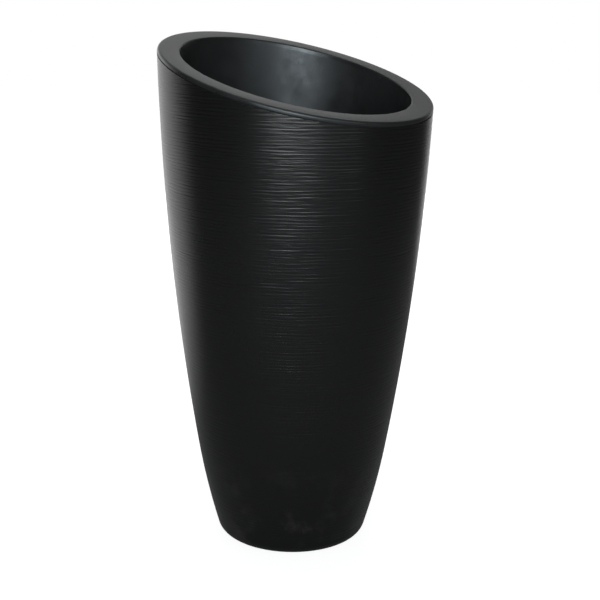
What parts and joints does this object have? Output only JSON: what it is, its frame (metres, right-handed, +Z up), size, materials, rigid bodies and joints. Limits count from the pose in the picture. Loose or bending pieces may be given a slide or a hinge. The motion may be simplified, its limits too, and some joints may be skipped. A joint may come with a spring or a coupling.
{
  "type": "tall planter",
  "caption": "Tall tapered round floor planter with a slanted flat rim, a finely ribbed outside and a smooth lift-out planting basin over a plugged water catch.",
  "frame": {"origin": "on the floor, on the axis of the round body, midway between the foot pads", "axes": "+Z up along the body's axis; the rim's low side faces -Y and its high side +Y"},
  "size_m": [0.3682, 0.3675, 0.6991],
  "materials": {
    "shell_plastic": "satin black, finely ribbed",
    "liner_plastic": "satin black, smooth",
    "inner_plastic": "matt black, smooth",
    "rubber": "matt black"
  },
  "bodies": {
    "shell": {"outer_shell": "shell_plastic", "rim_gasket": "rubber", "foot_pad_1": "rubber", "foot_pad_2": "rubber", "foot_pad_3": "rubber", "foot_pad_4": "rubber"},
    "liner": {"planting_liner": "liner_plastic"},
    "grid": {"drain_grid": "inner_plastic"},
    "plug": {"drain_plug": "inner_plastic", "plug_seal": "rubber"}
  },
  "joints": [
    {"name": "liner_lift", "type": "slide", "parent": "shell", "child": "liner", "axis": [0, 0, 1], "range_m": [0, 0.46]},
    {"name": "grid_lift", "type": "slide", "parent": "liner", "child": "grid", "axis": [0, 0, 1], "range_m": [0, 0.46]},
    {"name": "plug_lift", "type": "slide", "parent": "shell", "child": "plug", "axis": [0, 0, 1], "range_m": [0, 0.2]}
  ]
}
